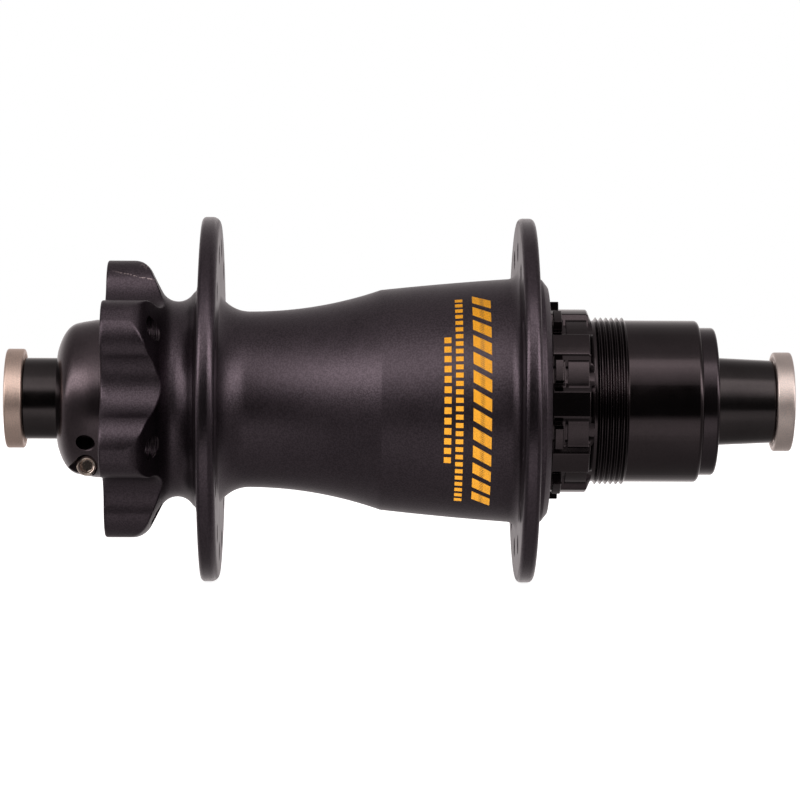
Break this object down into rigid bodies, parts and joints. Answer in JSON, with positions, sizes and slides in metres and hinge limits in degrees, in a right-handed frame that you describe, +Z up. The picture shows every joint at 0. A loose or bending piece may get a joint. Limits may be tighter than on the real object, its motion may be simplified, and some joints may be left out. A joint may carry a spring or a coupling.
{
  "type": "rear bicycle hub",
  "caption": "Rear bicycle hub with a star-shaped disc mount, two spoke flanges, a flared barrel, a splined driver body, a preload collar and end caps on a hollow axle.",
  "frame": {"origin": "middle of the hub on the axle's axis, halfway between the two end-cap faces", "axes": "+Y along the axle to the disc side, the driver on -Y; +X forwards, so the wheel rolls with a positive turn about +Y; +Z up"},
  "size_m": [0.0688, 0.148, 0.0688],
  "materials": {
    "shell_black": "bead-blasted, black anodised",
    "collar_black": "satin black anodised",
    "driver_black": "smooth hard-anodised black",
    "end_ring_black": "smooth satin black anodised",
    "axle_black": "semi-gloss black anodised",
    "cap_steel": "bead-blasted bare stainless steel",
    "screw_steel": "bright stainless steel",
    "ring_steel": "ground hardened steel",
    "race_steel": "ground bearing steel",
    "ball_steel": "polished bearing steel",
    "spring_steel": "drawn stainless spring wire",
    "cage_nylon": "moulded nylon",
    "seal_rubber": "moulded seal rubber",
    "oring_rubber": "moulded black rubber"
  },
  "bodies": {
    "axle": {"axle": "axle_black", "disc_end_cap": "cap_steel", "drive_end_cap": "cap_steel", "end_cap_orings": "oring_rubber", "disc_bearing_inner_race": "race_steel", "driver_bearing_inner_race": "race_steel"},
    "hub_shell": {"hub_shell": "shell_black", "driven_ring": "ring_steel", "disc_bearing_outer_race": "race_steel", "disc_bearing_seals": "seal_rubber", "disc_snap_ring": "spring_steel", "shell_bearing_outer_race": "race_steel", "shell_bearing_balls": "ball_steel", "shell_bearing_cage": "cage_nylon", "shell_bearing_seals": "seal_rubber", "shell_snap_ring": "spring_steel"},
    "driver": {"driver_body": "driver_black", "shell_bearing_inner_race": "race_steel", "dust_ring": "oring_rubber", "spring_retainer": "ring_steel", "clutch_spring": "spring_steel", "needle_cup": "race_steel", "driver_bearing_outer_race": "race_steel", "driver_bearing_seals": "seal_rubber", "driver_end_ring": "end_ring_black"},
    "drive_ring": {"drive_ring": "ring_steel"},
    "preload_collar": {"preload_collar": "collar_black"},
    "clamp_screw": {"clamp_screw": "screw_steel"},
    "disc_ball_train": {"disc_bearing_balls": "ball_steel", "disc_bearing_cage": "cage_nylon"},
    "driver_ball_train": {"driver_bearing_balls": "ball_steel", "driver_bearing_cage": "cage_nylon"},
    "needle_train": {"needle_rollers": "ball_steel", "needle_cage": "cage_nylon"}
  },
  "joints": [
    {"name": "shell_spin", "type": "hinge", "parent": "axle", "child": "hub_shell", "pos_m": [0, 0, 0], "axis": [0, 1, 0], "continuous": true},
    {"name": "driver_spin", "type": "hinge", "parent": "axle", "child": "driver", "pos_m": [0, 0, 0], "axis": [0, 1, 0], "continuous": true},
    {"name": "drive_ring_slide", "type": "slide", "parent": "driver", "child": "drive_ring", "axis": [0, 1, 0], "range_m": [0, 0.00075], "deforming": ["clutch_spring"]},
    {"name": "collar_turn", "type": "hinge", "parent": "axle", "child": "preload_collar", "pos_m": [0, 0.0586, 0], "axis": [0, 1, 0], "range_deg": [0, 360]},
    {"name": "clamp_screw_turn", "type": "hinge", "parent": "preload_collar", "child": "clamp_screw", "pos_m": [0, 0.0586, -0.0126], "axis": [-1, 0, 0], "range_deg": [0, 720]},
    {"name": "disc_balls_roll", "type": "hinge", "parent": "axle", "child": "disc_ball_train", "pos_m": [0, 0.0474, 0], "axis": [0, 1, 0], "continuous": true},
    {"name": "driver_balls_roll", "type": "hinge", "parent": "axle", "child": "driver_ball_train", "pos_m": [0, -0.0523, 0], "axis": [0, 1, 0], "continuous": true},
    {"name": "needles_roll", "type": "hinge", "parent": "axle", "child": "needle_train", "pos_m": [0, -0.02, 0], "axis": [0, 1, 0], "continuous": true}
  ],
  "couplings": [
    {"joint": "disc_balls_roll", "follows": "shell_spin", "ratio": 0.58},
    {"joint": "driver_balls_roll", "follows": "driver_spin", "ratio": 0.56},
    {"joint": "needles_roll", "follows": "driver_spin", "ratio": 0.547}
  ]
}
